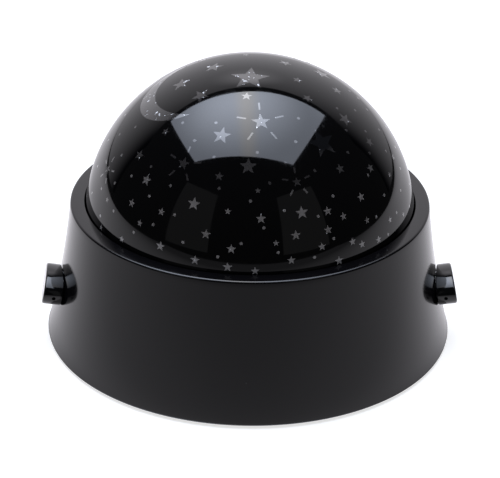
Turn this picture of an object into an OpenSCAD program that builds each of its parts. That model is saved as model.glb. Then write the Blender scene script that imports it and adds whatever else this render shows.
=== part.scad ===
// Star night light projector: a flared round base, a star dome that a small gear motor turns,
// a rotary knob on each flank, and a battery bay underneath.
// Millimetres. The feet stand on z = 0, +Z is up, and the front faces -Y.

/* [Dome] */
// Outer radius of the dome
dome_r = 56.5; // [55:0.5:58]
// Wall thickness of the dome
dome_t = 1.8; // [1.4:0.1:2.2]
// How far the dome's equator lies below the top ring
dome_sink = 7.7; // [7:0.1:9]
// Height of the straight skirt under the equator
skirt_h = 5; // [4.5:0.1:6]
// Gap between the dome and the lip of the top ring
lip_gap = 0.45; // [0.3:0.05:0.6]
// Depth of a star window's pocket in the dome's wall
window_t = 0.8; // [0.4:0.1:1]

/* [Housing] */
// Radius of the wall at its foot
base_r = 70; // [69:0.5:74]
// Height of the housing from its bottom edge to the top ring
housing_h = 47.7; // [47:0.1:52]
// Width of the flat ring round the dome
ring_w = 4.7; // [4.2:0.1:6]
// Thickness of the flat ring
ring_t = 2.2; // [1.8:0.1:2.6]
// How far the wall curves in between its foot and the ring
wall_sag = 0.9; // [0.5:0.1:1.3]
// Thickness of the wall
wall_t = 2.2; // [1.8:0.1:2.6]
// Rounding of the ring's outer edge
rim_round = 0.8; // [0.4:0.1:1.2]

/* [Bottom cover and feet] */
// Thickness of the bottom cover
cover_t = 2.2; // [2:0.1:2.8]
// Gap between parts that are fitted together and don't move
fit_gap = 0.3; // [0.2:0.05:0.4]
// Diameter of a rubber foot
foot_d = 13; // [10:0.5:15]
// How far the feet stand below the housing
foot_h = 1; // [0.8:0.1:2]
// Depth of a foot's pocket in the cover
foot_pocket = 1; // [0.6:0.1:1.2]
// How far the feet's middles lie inside the wall's foot
foot_inset = 16; // [14:0.5:18]

/* [Knobs] */
// Diameter of a knob
knob_d = 14; // [13:0.5:16]
// How far a knob stands out from the wall
knob_h = 5.3; // [5:0.1:8]
// How far the knobs' axes lie below the deck where they leave the wall
knob_drop = 6.2; // [6.2:0.1:8]
// How far forward of the side each knob sits, in degrees
knob_forward = 8; // [0:1:12]
// Rounding of a knob's outer edge
knob_round = 1.2; // [0.6:0.1:1.6]
// Gap between a knob and the wall
knob_gap = 0.4; // [0.3:0.05:0.8]
// Diameter of the index dimple on a knob's side
dimple_d = 1.3; // [1:0.1:1.8]

/* [Rotary switches] */
// Width of the square switch body
switch_w = 12; // [11:0.5:13]
// Depth of the switch body
switch_depth = 6.5; // [6:0.5:8]
// Diameter of the switch's threaded bushing
bushing_d = 7; // [6:0.5:7.5]
// Diameter of the spindle
spindle_d = 3.2; // [3:0.1:4]
// Width across the flats of the bushing nut
nut_w = 9; // [8.6:0.1:9.5]
// Thickness of the bushing nut
nut_t = 1.8; // [1.4:0.1:2]

/* [Deck] */
// Thickness of the deck plate
deck_t = 2; // [1.8:0.1:2.6]
// Height of the rail that carries the ring gear
rail_h = 5; // [4.5:0.1:5.5]
// Width of the rail
rail_w = 1.8; // [1.4:0.1:2.2]
// Running clearance between the rail and the ring gear's groove
run_gap = 0.1; // [0.05:0.01:0.1]
// Diameter of the column that carries the lamps
column_d = 16; // [14:0.5:20]

/* [Gears] */
// Gear module
gear_m = 1; // [1]
// Teeth of the pinion on the motor
pinion_teeth = 16; // [16]
// Pressure angle of the teeth, in degrees
pressure = 20; // [20]
// Play between two meshed teeth
backlash = 0.3; // [0.2:0.05:0.4]
// Height of the ring gear's toothed band
ring_h = 5; // [4.5:0.1:6]
// Height of the ring gear above the deck
ring_lift = 3; // [2.6:0.1:3.4]

/* [Gear motor] */
// Diameter of the motor can
motor_d = 28; // [26:0.5:30]
// Space between the motor can and the bottom cover
motor_clear = 3.8; // [3.2:0.1:5]
// Distance from the motor's middle to its shaft
shaft_offset = 8; // [7:0.5:9]
// Diameter of the motor shaft
shaft_d = 5; // [4:0.5:6]
// Distance between the two screw holes of the flange
ear_pitch = 35; // [33:0.5:37]

/* [Lamp] */
// Diameter of the lamp board
board_d = 22; // [18:0.5:26]
// Diameter of a lamp
led_d = 5; // [4:0.5:5.5]
// Lamps on the board
led_count = 4; // [3:1:5]

/* [Batteries] */
// Diameter of a cell
cell_d = 10.5; // [10.5]
// Length of a cell without its button
cell_l = 43.7; // [43.7]
// Number of cells side by side
cell_count = 4; // [4]
// Thickness of the battery door
door_t = 1.8; // [1.6:0.1:2]
// How far the door laps under the wall of the battery bay
door_lap = 1.4; // [1:0.1:1.6]
// Wall thickness of the battery bay
bay_t = 2; // [1.8:0.1:2.4]

/* [Hidden] */
$fn = 96;

// Colours
black = [0.05, 0.05, 0.06];
dark = [0.13, 0.13, 0.14];
smoke = [0.55, 0.57, 0.6];
steel = [0.72, 0.73, 0.75];
brass = [0.8, 0.65, 0.3];
nylon = [0.9, 0.9, 0.86];

// Small amounts that recur
seat = 0.05;          // radial play of a screw or a pin in its hole
wire_d = 1.2;         // diameter of an insulated lead
bite = 0.5;           // how far a rib runs into the wall that carries it
cut = 1;              // how far a cutting tool runs past a face

// Heights, from the feet up
base_z = foot_h;
cover_z = base_z + cover_t;
rim_z = base_z + housing_h;
dome_z = rim_z - dome_sink;
skirt_z = dome_z - skirt_h;
gear_z = skirt_z - ring_h;
deck_top = gear_z - ring_lift;
deck_z = deck_top - deck_t;
knob_z = deck_z - knob_drop;
motor_h = deck_z - cover_z - motor_clear;

// The top ring and the lip that the dome turns in
lip_r = dome_r + lip_gap;
opening_r = sqrt(lip_r * lip_r - dome_sink * dome_sink);
rim_r = opening_r + ring_w;

// The ring gear has as many teeth as leave room in the dome for the rail round it
rail_room = 8.5;
ring_teeth = floor(2 * (dome_r - rail_room) / gear_m);

// The motor hangs under the deck behind the battery bay, with its shaft towards the back
motor_place = gear_m * (ring_teeth - pinion_teeth) / 2;   // distance of the shaft from the middle
motor_y = motor_place - shaft_offset;
wire_cover_l = 6;
wire_cover_bite = 2.6;       // how far the wire cover wraps round the can
wire_cover_y = motor_y - motor_d / 2 - wire_cover_l + wire_cover_bite;

// The wall is an arc through its foot and its rim that sags inwards by wall_sag
chord = [rim_r - base_r, rim_z - base_z];
chord_l = norm(chord);
arc_r = (chord_l * chord_l / 4 + wall_sag * wall_sag) / (2 * wall_sag);
arc_c = [(base_r + rim_r) / 2, (base_z + rim_z) / 2]
    + (arc_r - wall_sag) * [chord[1], -chord[0]] / chord_l;

// Radius of the wall at height z, measured depth under its outer face
function wall_at(z, depth = 0) =
    arc_c[0] - sqrt(pow(arc_r + depth, 2) - pow(z - arc_c[1], 2));

// Lean of the wall from upright at height z, in degrees
function wall_lean(z) = asin((arc_c[1] - z) / arc_r);

// ---------------------------------------------------------------- fasteners

// Pan-head screw whose head sits on z = 0 and whose shank points up
module pan_screw(shank_d, length, head_d, head_h) {
    slot_w = shank_d / 4;
    difference() {
        union() {
            cylinder(d = shank_d, h = length);
            translate([0, 0, -head_h]) cylinder(d = head_d, h = head_h);
        }
        for (turn = [0, 90])
            rotate(turn) translate([-head_d / 3, -slot_w / 2, -head_h - cut])
                cube([head_d / 1.5, slot_w, cut + head_h / 2]);
    }
}

// ---------------------------------------------------------------- base housing

boss_d = 7;              // bosses that take the cover screws
boss_angles = [45, 135, 225, 315];
boss_z = cover_z + 3;    // the cover's screw wells stand up to here
boss_h = 14;
boss_place = wall_at(boss_z + boss_h, wall_t) - boss_d / 2;
deck_boss_d = 6.4;
deck_boss_place = wall_at(deck_top, wall_t) - deck_boss_d / 2;
deck_boss_h = ring_lift + ring_h - 2.4;
deck_angles = [30, 150, 210, 330];
cover_screw_d = 2.6;
deck_screw_d = 2.2;

// Everything inside the wall's outer face, less a skin of the given depth
module inside_wall(depth) {
    difference() {
        translate([0, base_z]) square([base_r + cut, housing_h]);
        translate(arc_c) circle(r = arc_r + depth, $fn = 1440);
    }
}

// The corner that rounding takes off the ring's outer edge
module rim_corner() {
    z = rim_z - rim_round;
    middle = [arc_c[0] - sqrt(pow(arc_r + rim_round, 2) - pow(arc_c[1] - z, 2)), z];
    out = (arc_c - middle) / norm(arc_c - middle);
    translate(middle) difference() {
        polygon([[0, 0], [0, 3 * rim_round], 3 * rim_round * [1, 1], 3 * rim_round * out]);
        circle(r = rim_round);
    }
}

module housing_section() {
    difference() {
        inside_wall(0);
        intersection() {
            inside_wall(wall_t);
            square([base_r, rim_z - ring_t]);
        }
        translate([0, dome_z]) circle(r = lip_r, $fn = 360);
        rim_corner();
    }
}

// A screw boss with a rib that ties it to the wall
module wall_boss(place, d, z, h) {
    translate([place, 0, z]) cylinder(d = d, h = h);
    translate([place, -d / 6, z]) cube([wall_at(z, wall_t) + bite - place, d / 3, h]);
}

module base_housing() color(black) difference() {
    union() {
        rotate_extrude($fn = 240) housing_section();
        intersection() {
            union() {
                for (a = boss_angles) rotate(a) wall_boss(boss_place, boss_d, boss_z, boss_h);
                for (a = deck_angles)
                    rotate(a) wall_boss(deck_boss_place, deck_boss_d, deck_top, deck_boss_h);
            }
            rotate_extrude($fn = 240) inside_wall(wall_t - bite);
        }
    }
    for (a = boss_angles)
        rotate(a) translate([boss_place, 0, boss_z - cut])
            cylinder(d = cover_screw_d + 2 * seat, h = boss_h - 2 + cut);
    for (a = deck_angles)
        rotate(a) translate([deck_boss_place, 0, deck_top - cut])
            cylinder(d = deck_screw_d + 2 * seat, h = deck_boss_h - 1 + cut);
    at_knobs() translate([0, 0, -2 * wall_t]) cylinder(d = bushing_d + fit_gap, h = 4 * wall_t);
}

// ---------------------------------------------------------------- battery bay sizes

cell_pitch = cell_d + 0.7;
button_d = 3.8;
button_h = 0.8;
spring_l = 5.2;
plate_t = 0.4;
plate_w = 9;
bay_w = cell_count * cell_pitch + 0.6;
bay_l = cell_l + button_h + spring_l + 2 * plate_t + 2 * fit_gap;
bay_y = wire_cover_y - 1 - bay_t - bay_l / 2;
door_z = base_z;                               // the door lies flush with the cover
cell_z = door_z + door_t + fit_gap + cell_d / 2;
exit_z = cell_z + 3;                           // the battery leads leave the bay at this height
bay_top = cell_z + cell_d / 2 + fit_gap;       // underside of the bay's roof
door_w = bay_w + 2 * door_lap;
door_l = bay_l + 2 * door_lap;
door_screw_y = door_l / 2 + 2.2;               // the door's two ears reach past the bay
door_screw_d = 2.2;
door_head_d = 4.2;
ear_w = 8;

function cell_x(i) = (i - (cell_count - 1) / 2) * cell_pitch;

// ---------------------------------------------------------------- bottom cover

cover_r = wall_at(cover_z, wall_t) - fit_gap;
cover_head_d = 5;
cover_head_h = 1.6;
well_d = 9;
foot_angles = [30, 150, 210, 330];
foot_place = base_r - foot_inset;
door_boss_h = 3;                               // height of the door's screw bosses over the cover
door_hole_h = cover_t + door_boss_h - 0.8;     // depth of the screw hole in them
board_x = 27 - base_r;                         // middle of the control board
board_y = bay_y + bay_l / 2 + 0.4;              // level with the bay's back end
board_w = 20;
board_l = 34;
board_z = 9;
board_t = 1.6;
board_post_d = 5;
board_screw_d = 2;
board_holes = [[0, -board_l / 2 + 3], [0, board_l / 2 - 3]];

// Outline of the battery door: a plate with a round-ended ear at each end
module door_outline(gap) {
    square([door_w + 2 * gap, door_l + 2 * gap], center = true);
    for (side = [-1, 1]) {
        translate([0, side * door_screw_y]) circle(d = ear_w + 2 * gap);
        translate([0, side * door_screw_y / 2])
            square([ear_w + 2 * gap, door_screw_y], center = true);
    }
}

module bottom_cover() color(black) difference() {
    union() {
        translate([0, 0, base_z]) cylinder(r = cover_r, h = cover_t, $fn = 240);
        translate([-bay_w / 2 - bay_t, bay_y - bay_l / 2 - bay_t, base_z])
            cube([bay_w + 2 * bay_t, bay_l + 2 * bay_t, bay_top + bay_t - base_z]);
        for (side = [-1, 1])
            translate([0, bay_y + side * door_screw_y, base_z])
                cylinder(d = ear_w + 2, h = cover_t + door_boss_h);
        for (a = boss_angles)
            rotate(a) translate([boss_place, 0, base_z])
                cylinder(d = well_d, h = boss_z - base_z);
        for (p = board_holes)
            translate([board_x + p[0], board_y + p[1], base_z])
                cylinder(d = board_post_d, h = board_z - base_z);
    }
    // cell space and door seat
    translate([-bay_w / 2, bay_y - bay_l / 2, base_z - cut])
        cube([bay_w, bay_l, bay_top - base_z + cut]);
    translate([0, bay_y, base_z - cut]) linear_extrude(cut + door_t) door_outline(fit_gap);
    for (side = [-1, 1])
        translate([0, bay_y + side * door_screw_y, base_z])
            cylinder(d = door_screw_d + 2 * seat, h = door_hole_h);
    for (a = boss_angles) rotate(a) translate([boss_place, 0, base_z - cut]) {
        cylinder(d = cover_head_d + 2 * fit_gap, h = cut + cover_t + 1);
        cylinder(d = cover_screw_d + fit_gap, h = boss_z);
    }
    for (a = foot_angles)
        rotate(a) translate([foot_place, 0, base_z - cut])
            cylinder(d = foot_d + fit_gap, h = cut + foot_pocket);
    for (p = board_holes)
        translate([board_x + p[0], board_y + p[1], board_z - 5])
            cylinder(d = board_screw_d + 2 * seat, h = 5 + cut);
    for (i = [0, cell_count - 1])
        translate([cell_x(i), bay_y + bay_l / 2 - cut, exit_z]) rotate([-90, 0, 0])
            cylinder(d = wire_d + fit_gap, h = bay_t + 2 * cut);
}

module rubber_feet() color(dark) for (a = foot_angles)
    rotate(a) translate([foot_place, 0, 0]) rotate_extrude() difference() {
        square([foot_d / 2, foot_h + foot_pocket]);
        translate([foot_d / 2, 0]) polygon([[0, 0], [-foot_h / 2, 0], [0, foot_h / 2]]);
    }

module cover_screws() color(steel) for (a = boss_angles)
    rotate(a) translate([boss_place, 0, base_z + cover_t + 1])
        pan_screw(cover_screw_d, 11, cover_head_d, cover_head_h);

// ---------------------------------------------------------------- deck plate

deck_r = wall_at(deck_top, wall_t) - fit_gap;
rail_r = gear_m * ring_teeth / 2 + 4;          // middle of the rail
motor_boss_d = 9;
motor_screw_d = 3;
lamp_z = dome_z - 4;                           // top of the column, under the lamp board
wire_hole_d = 5;
wire_hole = [0, -16];
lamp_holes = [[7, 0], [-7, 0]];
lamp_screw_d = 1.8;

module deck_plate() color(black) difference() {
    union() {
        translate([0, 0, deck_z]) cylinder(r = deck_r, h = deck_t, $fn = 240);
        translate([0, 0, deck_z]) difference() {
            cylinder(r = rail_r + rail_w / 2, h = deck_t + rail_h, $fn = 240);
            translate([0, 0, -cut])
                cylinder(r = rail_r - rail_w / 2, h = deck_t + rail_h + 2 * cut, $fn = 240);
        }
        translate([0, 0, deck_z]) cylinder(d = column_d, h = lamp_z - deck_z);
        for (a = [0 : 90 : 270]) rotate(a + 45)
            translate([0, -0.8, deck_z]) cube([column_d / 2 + 6, 1.6, deck_t + 4]);
        for (side = [-1, 1]) translate([side * ear_pitch / 2, motor_place - shaft_offset, deck_z])
            cylinder(d = motor_screw_d + 4, h = deck_t + 2);
    }
    translate([0, motor_place, deck_z - cut])
        cylinder(d = motor_boss_d + fit_gap, h = deck_t + 2 * cut);
    for (side = [-1, 1])
        translate([side * ear_pitch / 2, motor_place - shaft_offset, deck_z - cut])
            cylinder(d = motor_screw_d + 2 * seat, h = deck_t + 2 + 2 * cut);
    for (a = deck_angles)
        rotate(a) translate([deck_boss_place, 0, deck_z - cut])
            cylinder(d = deck_screw_d + fit_gap, h = deck_t + 2 * cut);
    for (p = lamp_holes)
        translate([p[0], p[1], lamp_z - 5]) cylinder(d = lamp_screw_d + 2 * seat, h = 5 + cut);
    translate([wire_hole[0], wire_hole[1], deck_z - cut])
        cylinder(d = wire_hole_d, h = deck_t + 2 * cut);
}

module deck_screws() color(steel) for (a = deck_angles)
    rotate(a) translate([deck_boss_place, 0, deck_z])
        pan_screw(deck_screw_d, deck_t + deck_boss_h - 2, 4.2, 1.4);

// ---------------------------------------------------------------- lamp

lamp_board_t = 1.2;
led_ring_r = 4.6;
led_lens_h = 4;

module lamp_board() color("white") translate([0, 0, lamp_z]) difference() {
    cylinder(d = board_d, h = lamp_board_t);
    for (p = lamp_holes)
        translate([p[0], p[1], -cut]) cylinder(d = lamp_screw_d + fit_gap, h = lamp_board_t + 2 * cut);
}

module lamp_screws() color(steel) for (p = lamp_holes)
    translate([p[0], p[1], lamp_z + lamp_board_t]) mirror([0, 0, 1])
        pan_screw(lamp_screw_d, 5, 3.2, 1.1);

module lamps() color(smoke) for (i = [0 : led_count - 1])
    rotate(45 + i * 360 / led_count) translate([led_ring_r, 0, lamp_z + lamp_board_t]) {
        cylinder(d = led_d + 0.6, h = 0.8);
        cylinder(d = led_d, h = led_lens_h);
        translate([0, 0, led_lens_h]) rotate_extrude()
            intersection() { circle(d = led_d); square(led_d); }
    }

// ---------------------------------------------------------------- gear motor

flange_t = 0.8;
motor_can_h = motor_h - flange_t;
wire_cover_w = 15;
shaft_top = gear_z + ring_h + 0.4;

module motor_can() color(steel) translate([0, motor_y, deck_z - motor_h]) rotate_extrude()
    polygon([[0, 0], [motor_d / 2 - 1, 0], [motor_d / 2, 1],
        [motor_d / 2, motor_can_h], [0, motor_can_h]]);

module motor_flange() color(steel) difference() {
    union() {
        translate([0, motor_y, deck_z - flange_t]) {
            cylinder(d = motor_d, h = flange_t);
            for (side = [-1, 1]) translate([side * ear_pitch / 2, 0, 0])
                cylinder(d = motor_screw_d + 4, h = flange_t);
            translate([-ear_pitch / 2, -(motor_screw_d + 4) / 2, 0])
                cube([ear_pitch, motor_screw_d + 4, flange_t]);
        }
        translate([0, motor_place, deck_z - flange_t])
            cylinder(d = motor_boss_d, h = flange_t + deck_t - 0.4);
    }
    for (side = [-1, 1]) translate([side * ear_pitch / 2, motor_y, deck_z - flange_t - cut])
        cylinder(d = motor_screw_d + fit_gap, h = flange_t + 2 * cut);
    translate([0, motor_place, deck_z - flange_t - cut])
        cylinder(d = shaft_d + 2 * seat, h = deck_t + flange_t + 2 * cut);
}

module motor_wire_cover() color("steelblue")
    translate([-wire_cover_w / 2, wire_cover_y, deck_z - motor_h + 2]) difference() {
        cube([wire_cover_w, wire_cover_l, motor_can_h - 4]);
        translate([wire_cover_w / 2, motor_y - wire_cover_y, -cut])
            cylinder(d = motor_d + 2 * seat, h = motor_h);
    }

module motor_screws() color(steel) for (side = [-1, 1])
    translate([side * ear_pitch / 2, motor_y, deck_z - flange_t])
        pan_screw(motor_screw_d, flange_t + deck_t + 1.6, 5.4, 1.6);

// A round shaft with a flat on both sides of its upper end
module shaft_form(d, flat, z_flat, length) {
    difference() {
        cylinder(d = d, h = length);
        for (side = [0, 180]) rotate(side)
            translate([flat / 2, -d, z_flat]) cube([d, 2 * d, length]);
    }
}

module motor_shaft() color(brass)
    translate([0, motor_place, deck_z - flange_t])
        shaft_form(shaft_d, shaft_d - 2, deck_t + 2, shaft_top - deck_z + flange_t);

// ---------------------------------------------------------------- gears

// Point of an involute with base radius rb, unrolled by a degrees, mirrored for side = -1
function involute(rb, a, side) =
    let (roll = a * PI / 180)
    [rb * (cos(a) + roll * sin(a)), side * rb * (sin(a) - roll * cos(a))];

// How far an involute has unrolled where it crosses radius r, in degrees
function unroll(rb, r) = r <= rb ? 0 : sqrt(pow(r / rb, 2) - 1) * 180 / PI;

function turned(p, a) = [p[0] * cos(a) - p[1] * sin(a), p[0] * sin(a) + p[1] * cos(a)];

// Outline of a spur gear with a tooth on the +X axis, its teeth thinner by play.
// The ring gear is cut with the outline of a gear whose teeth are thicker.
module gear_outline(teeth, addendum, dedendum, play) {
    pitch_r = gear_m * teeth / 2;
    rb = pitch_r * cos(pressure);
    root_r = pitch_r - dedendum;
    tip_r = pitch_r + addendum;
    start_r = max(rb, root_r);
    flank_at_pitch = tan(pressure) * 180 / PI - pressure;
    half = 90 / teeth + flank_at_pitch - play / 2 / pitch_r * 180 / PI;
    steps = 3;
    flank = [for (i = [0 : steps])
        involute(rb, unroll(rb, start_r + (tip_r - start_r) * i / steps), 1)];
    // under the base circle a flank runs straight down to the root
    foot = root_r < rb ? [root_r * [cos(half), -sin(half)]] : [];
    side = concat(foot, [for (p = flank) turned(p, -half)]);
    count = len(side);
    tooth = concat(side, [for (i = [1 : count]) [side[count - i][0], -side[count - i][1]]]);
    polygon([for (k = [0 : teeth - 1]) for (p = tooth) turned(p, k * 360 / teeth)]);
}

ring_r = dome_r - dome_t - fit_gap / 3;        // the ring gear's spigot inside the dome
spigot_h = 4;
spigot_t = 2;
flange_h = 1.5;                                // the dome's skirt stands on this flange
groove_in = rail_r - rail_w / 2 - run_gap;
groove_out = rail_r + rail_w / 2 + run_gap;
groove_z = deck_top + rail_h + fit_gap;
band_r = groove_out + 1.4;
pinion_z = deck_top + 1.6;

module drive_pinion() color(nylon) difference() {
    translate([0, motor_place, pinion_z]) rotate(90)
        linear_extrude(shaft_top - pinion_z - 0.4)
            gear_outline(pinion_teeth, gear_m, 1.25 * gear_m, backlash / 2);
    translate([0, motor_place, pinion_z - cut])
        shaft_form(shaft_d + 2 * seat, shaft_d - 2 + 2 * seat, 0, shaft_top);
}

// Section of the ring gear outside its toothed tube: web, outer lip, flange and spigot
module carrier_section() {
    translate([groove_in - 0.8, groove_z]) square([band_r - groove_in + 0.8, skirt_z - groove_z]);
    translate([groove_out, gear_z]) square([band_r - groove_out, ring_h]);
    translate([groove_out, skirt_z - flange_h]) square([dome_r - groove_out, flange_h]);
    translate([ring_r - spigot_t, skirt_z - flange_h]) square([spigot_t, flange_h + spigot_h]);
}

module dome_ring_gear() color(nylon) {
    translate([0, 0, gear_z]) linear_extrude(ring_h - 0.3) difference() {
        circle(r = groove_in, $fn = 240);
        rotate(90) gear_outline(ring_teeth, 1.25 * gear_m, 0.8 * gear_m, -backlash / 2);
    }
    difference() {
        rotate_extrude($fn = 240) carrier_section();
        at_ring_screws() cylinder(d = ring_screw_d + 2 * seat, h = 8, center = true);
    }
}

// ---------------------------------------------------------------- dome

ring_screw_d = 2;
ring_screw_z = skirt_z + spigot_h / 2;

// Radial screw places round the skirt, with +Z pointing outwards from the spigot's face
module at_ring_screws() {
    for (a = [0, 120, 240]) rotate(a + 30)
        translate([ring_r, 0, ring_screw_z]) rotate([0, 90, 0]) children();
}

module ring_screws() color(steel) at_ring_screws() translate([0, 0, dome_r - ring_r])
    mirror([0, 0, 1]) pan_screw(ring_screw_d, 3.4, 3.6, 0.8);

// Half of the dome's section: a quarter disc on a straight skirt
module dome_half(r) {
    intersection() {
        circle(r = r, $fn = 360);
        square([r, r]);
    }
    translate([0, -skirt_h]) square([r, skirt_h]);
}

module dome_shell() color(black) difference() {
    translate([0, 0, dome_z]) rotate_extrude($fn = 360) difference() {
        dome_half(dome_r);
        dome_half(dome_r - dome_t);
        translate([0, -dome_r]) square([dome_r - dome_t, dome_r]);
    }
    at_ring_screws() cylinder(d = ring_screw_d + fit_gap, h = 8, center = true);
    window_blocks(fit_gap / 10);
}

// Outline of a five-pointed star of outer radius r, one point towards +Y
module star_outline(r) {
    polygon([for (i = [0 : 9]) (i % 2 == 0 ? r : 0.47 * r) * [sin(36 * i), cos(36 * i)]]);
}

// Puts its children on the dome, turn degrees round from the front and rise degrees up from the
// equator, with +Z pointing outwards and +Y towards the top of the dome
module on_dome(turn, rise) {
    translate([0, 0, dome_z]) rotate([0, 0, turn]) rotate([90 - rise, 0, 0])
        translate([0, 0, dome_r]) children();
}

// The windows were placed by eye: turn, rise and radius of each star. Those round the crown stand
// once, and those on the flank stand twice, on opposite sides of the dome.
crown_stars = [[-6, 80, 5.9], [-93, 77, 2.8], [190, 79, 1.2], [110, 78, 2], [62, 73, 1.5],
    [-130, 68, 1.4], [-7, 70, 1.5], [81, 60, 1.7]];
flank_stars = [
    [-79, 65, 2.8], [-48, 66, 2.6], [47, 65, 1.5], [4, 59, 2.6], [-18, 53, 2.6],
    [59, 52, 2.1], [-50, 49, 1.2], [35, 48, 3.8], [-3, 43, 2.4], [-32, 41, 1.6], [63, 41, 1.5],
    [-56, 38, 1.6], [-15, 39, 1.1], [17, 37, 1.3], [38, 38, 1.4], [54, 34, 1.3], [-46, 32, 1.6],
    [74, 31, 1.2], [-23, 29, 1.8], [-71, 27, 1.3], [2, 26, 1.4], [17, 27, 1.8], [27, 26, 1.3],
    [43, 27, 1.3], [-49, 23, 1.2], [-35, 24, 1.1], [33, 23, 1.1], [-17, 20, 1.4], [14, 20, 1.4],
    [26, 20, 1.3], [-43, 18, 1], [43, 19, 1], [-8, 16, 1.3], [23, 15, 1.1], [35, 14, 1.1],
    [55, 15, 1], [-33, 13, 1.4], [12, 12, 1.1], [-20, 11, 1.3]];
moon = [-77, 66, 17];          // turn, rise and radius of the crescent
moon_bite = [1.6, 7.3, 18.4];  // middle and radius of the circle that cuts it to a crescent

// The windows' outlines as blocks that start this far under the dome's surface
window_reach = 6;

module window_blocks(gap) difference() {
    union() {
        for (s = crown_stars) on_dome(s[0], s[1]) window_block() star_outline(s[2] + gap);
        for (half = [0, 180]) for (s = flank_stars)
            on_dome(s[0] + half, s[1]) window_block() star_outline(s[2] + gap);
        on_dome(moon[0], moon[1]) window_block() difference() {
            circle(r = moon[2] + gap);
            translate([moon_bite[0], moon_bite[1]]) circle(r = moon_bite[2] - gap);
        }
    }
    translate([0, 0, dome_z]) sphere(r = dome_r - window_t - gap, $fn = 360);
}

module window_block() {
    translate([0, 0, -window_reach]) linear_extrude(window_reach + cut) children();
}

module star_windows() color(smoke) intersection() {
    window_blocks(0);
    translate([0, 0, dome_z]) sphere(r = dome_r, $fn = 360);
}

// ---------------------------------------------------------------- knobs and switches

knob_lean = wall_lean(knob_z);
knob_bore_depth = knob_h - 1.4;
knob_cavity_h = nut_t + 0.9;
spindle_flat = 0.6;
switch_pin_l = 2.5;
switch_pin_pitch = 3;
dimple_angle = 16;           // the index dimple points forward and this much down

// The right-hand knob's place, with +Z out of the wall
module at_right_knob() {
    rotate(-knob_forward) translate([wall_at(knob_z), 0, knob_z])
        rotate([0, 90 - knob_lean, 0]) children();
}

module at_knobs() {
    at_right_knob() children();
    mirror([1, 0, 0]) at_right_knob() children();
}

module knob() color(black) difference() {
    rotate_extrude() difference() {
        translate([0, knob_gap]) square([knob_d / 2, knob_h - knob_gap]);
        translate([knob_d / 2 - knob_round, knob_h - knob_round]) difference() {
            square(2 * knob_round);
            circle(r = knob_round);
        }
        translate([0, -cut]) square([nut_w * 0.6 + fit_gap, cut + knob_cavity_h]);
    }
    shaft_bore();
    rotate(-90 + dimple_angle) translate([knob_d / 2 - 0.6, 0, knob_h / 2 + 0.2]) rotate([0, 90, 0])
        cylinder(d = dimple_d, h = 2);
}

// The spindle's own form, larger by its play, for the knob's bore
module shaft_bore() {
    difference() {
        cylinder(d = spindle_d + 2 * seat, h = knob_bore_depth);
        translate([spindle_d / 2 - spindle_flat + seat, -spindle_d, -cut])
            cube([spindle_d, 2 * spindle_d, knob_h + 2 * cut]);
    }
}

module spindle() color(steel) difference() {
    translate([0, 0, -wall_t - switch_depth + 2])
        cylinder(d = spindle_d, h = wall_t + switch_depth - 2 + knob_bore_depth - seat);
    translate([spindle_d / 2 - spindle_flat, -spindle_d, nut_t + 0.7])
        cube([spindle_d, 2 * spindle_d, knob_h]);
}

module switch_body() color(dark) difference() {
    union() {
        translate([-switch_w / 2, -switch_w / 2, -wall_t - fit_gap - switch_depth])
            cube([switch_w, switch_w, switch_depth]);
        translate([0, 0, -wall_t - fit_gap - cut])
            cylinder(d = bushing_d, h = wall_t + cut + nut_t + fit_gap);
        for (i = [-1 : 1])
            translate([switch_w / 2 - cut, switch_pin_pitch * i - 0.4, -wall_t - fit_gap - switch_depth])
                cube([cut + switch_pin_l, 0.8, 0.4]);
    }
    translate([0, 0, -wall_t - switch_depth + 2 - seat])
        cylinder(d = spindle_d + 2 * seat, h = 3 * switch_depth);
}

module switch_nut() color(steel) difference() {
    translate([0, 0, 0.1]) cylinder(d = nut_w / cos(30), h = nut_t, $fn = 6);
    translate([0, 0, -cut]) cylinder(d = bushing_d + 2 * seat, h = nut_t + 2 * cut);
}

module right_knob() at_right_knob() knob();
module left_knob() mirror([1, 0, 0]) right_knob();
module right_spindle() at_right_knob() spindle();
module left_spindle() mirror([1, 0, 0]) right_spindle();
module right_switch() at_right_knob() switch_body();
module left_switch() mirror([1, 0, 0]) right_switch();
module right_switch_nut() at_right_knob() switch_nut();
module left_switch_nut() mirror([1, 0, 0]) right_switch_nut();

// ---------------------------------------------------------------- control board

module control_board() color("darkgreen") translate([board_x, board_y, board_z]) {
    difference() {
        translate([-board_w / 2, -board_l / 2, 0]) cube([board_w, board_l, board_t]);
        for (p = board_holes)
            translate([p[0], p[1], -cut]) cylinder(d = board_screw_d + fit_gap, h = board_t + 2 * cut);
    }
    translate([-3, -4, board_t]) cube([6, 8, 1.6]);
    for (i = [-1, 1]) translate([i * 6, 9, board_t]) cylinder(d = 5, h = 6);
    for (i = [-1 : 1]) translate([-7, i * 4 - 6, board_t]) cube([3, 1.6, 1]);
}

module board_screws() color(steel) for (p = board_holes)
    translate([board_x + p[0], board_y + p[1], board_z + board_t]) mirror([0, 0, 1])
        pan_screw(board_screw_d, 5, 3.6, 1.2);

// ---------------------------------------------------------------- batteries

// +1 where a cell's button points to the back, -1 where it points to the front
function pole(i) = i % 2 == 0 ? 1 : -1;

// Puts its children in line with cell i, with +Z from the flat end's plate towards the button
module along_cell(i) {
    translate([cell_x(i), bay_y - pole(i) * (bay_l / 2 - plate_t), cell_z])
        rotate([-90 * pole(i), 0, 0]) children();
}

module battery_cells() color("silver") for (i = [0 : cell_count - 1]) along_cell(i)
    translate([0, 0, spring_l + fit_gap]) rotate_extrude() polygon([
        [0, 0], [cell_d / 2 - 0.5, 0], [cell_d / 2, 0.5], [cell_d / 2, cell_l - 0.5],
        [cell_d / 2 - 0.5, cell_l], [button_d / 2, cell_l],
        [button_d / 2, cell_l + button_h], [0, cell_l + button_h]]);

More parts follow.
